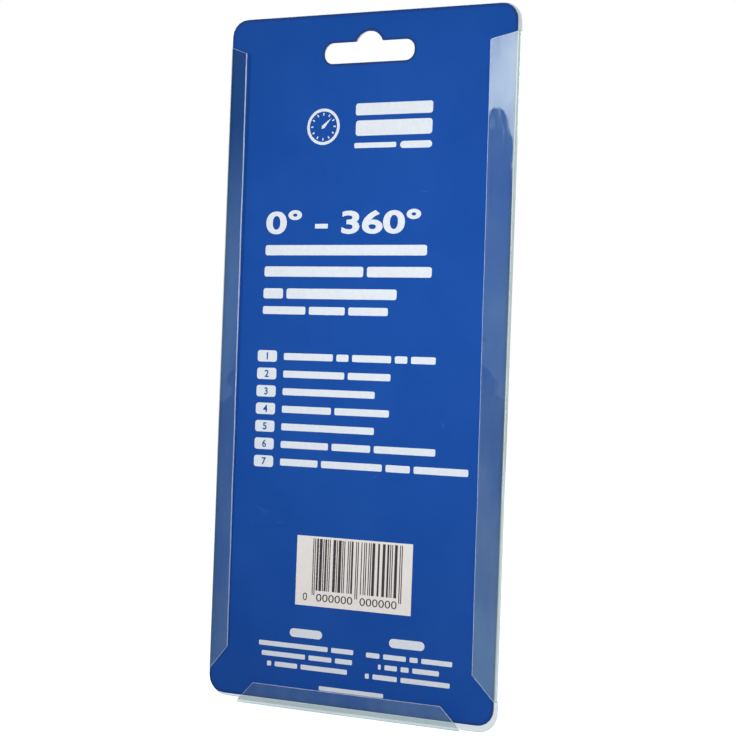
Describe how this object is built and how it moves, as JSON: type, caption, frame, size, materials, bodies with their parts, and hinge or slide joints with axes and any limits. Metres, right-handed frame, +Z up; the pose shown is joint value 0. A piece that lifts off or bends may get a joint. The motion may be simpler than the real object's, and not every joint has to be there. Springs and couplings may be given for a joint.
{
  "type": "torque angle gauge",
  "caption": "Torque angle gauge with square drive, dial, pointer and magnetic flexible arm, held in a clear slide blister with a printed card and a hang slot.",
  "frame": {"origin": "the bearing point of the hang slot: the top of the bump in the middle of its upper edge, on the card's front face", "axes": "+Z up along the pack's length, +Y out of the printed back, -Y out of the clear bubble, +X to the right seen from the bubble's side"},
  "size_m": [0.105, 0.0431, 0.23],
  "materials": {
    "clear_sheet": "clear thermoformed sheet, glossy",
    "printed_card": "coated board printed blue, satin",
    "black_plastic": "fine moulded grain",
    "dial_black": "printed dial",
    "pointer_red": "glossy",
    "steel": "satin chrome plated steel",
    "arm_chrome": "plated interlocked casing",
    "brass": "turned",
    "rubber": "moulded",
    "magnet": "sintered"
  },
  "bodies": {
    "pack": {"blister_shell": "clear_sheet", "housing_base": "black_plastic", "bezel_ring": "black_plastic", "scale_plate": "dial_black", "journal_bush": "brass", "dial_screw_1": "steel", "dial_screw_2": "steel", "dial_screw_3": "steel", "base_ferrule": "steel", "arm_set_screw": "steel", "flexible_arm": "arm_chrome", "end_ferrule": "steel", "magnet_cup": "steel", "magnet": "magnet"},
    "card": {"backing_card": "printed_card"},
    "drive": {"drive_shaft": "steel", "retaining_ring": "steel", "friction_ring": "rubber", "detent_spring": "steel"},
    "ball": {"detent_ball": "steel"},
    "pointer": {"pointer_knob": "black_plastic", "pointer_needle": "pointer_red", "pointer_rivet_1": "steel", "pointer_rivet_2": "steel"}
  },
  "joints": [
    {"name": "card_slide", "type": "slide", "parent": "pack", "child": "card", "axis": [0, 0, 1], "range_m": [0, 0.215]},
    {"name": "drive_spin", "type": "hinge", "parent": "pack", "child": "drive", "pos_m": [0, -0.0191, -0.1678], "axis": [0, 1, 0], "continuous": true},
    {"name": "pointer_set", "type": "hinge", "parent": "drive", "child": "pointer", "pos_m": [0, -0.0272, -0.1678], "axis": [0, 1, 0], "continuous": true},
    {"name": "ball_press", "type": "slide", "parent": "drive", "child": "ball", "axis": [0, 0, -1], "range_m": [0, 0.0008], "stiffness_N_per_m": 600, "springref_m": -0.001, "deforming": ["detent_spring"]}
  ]
}
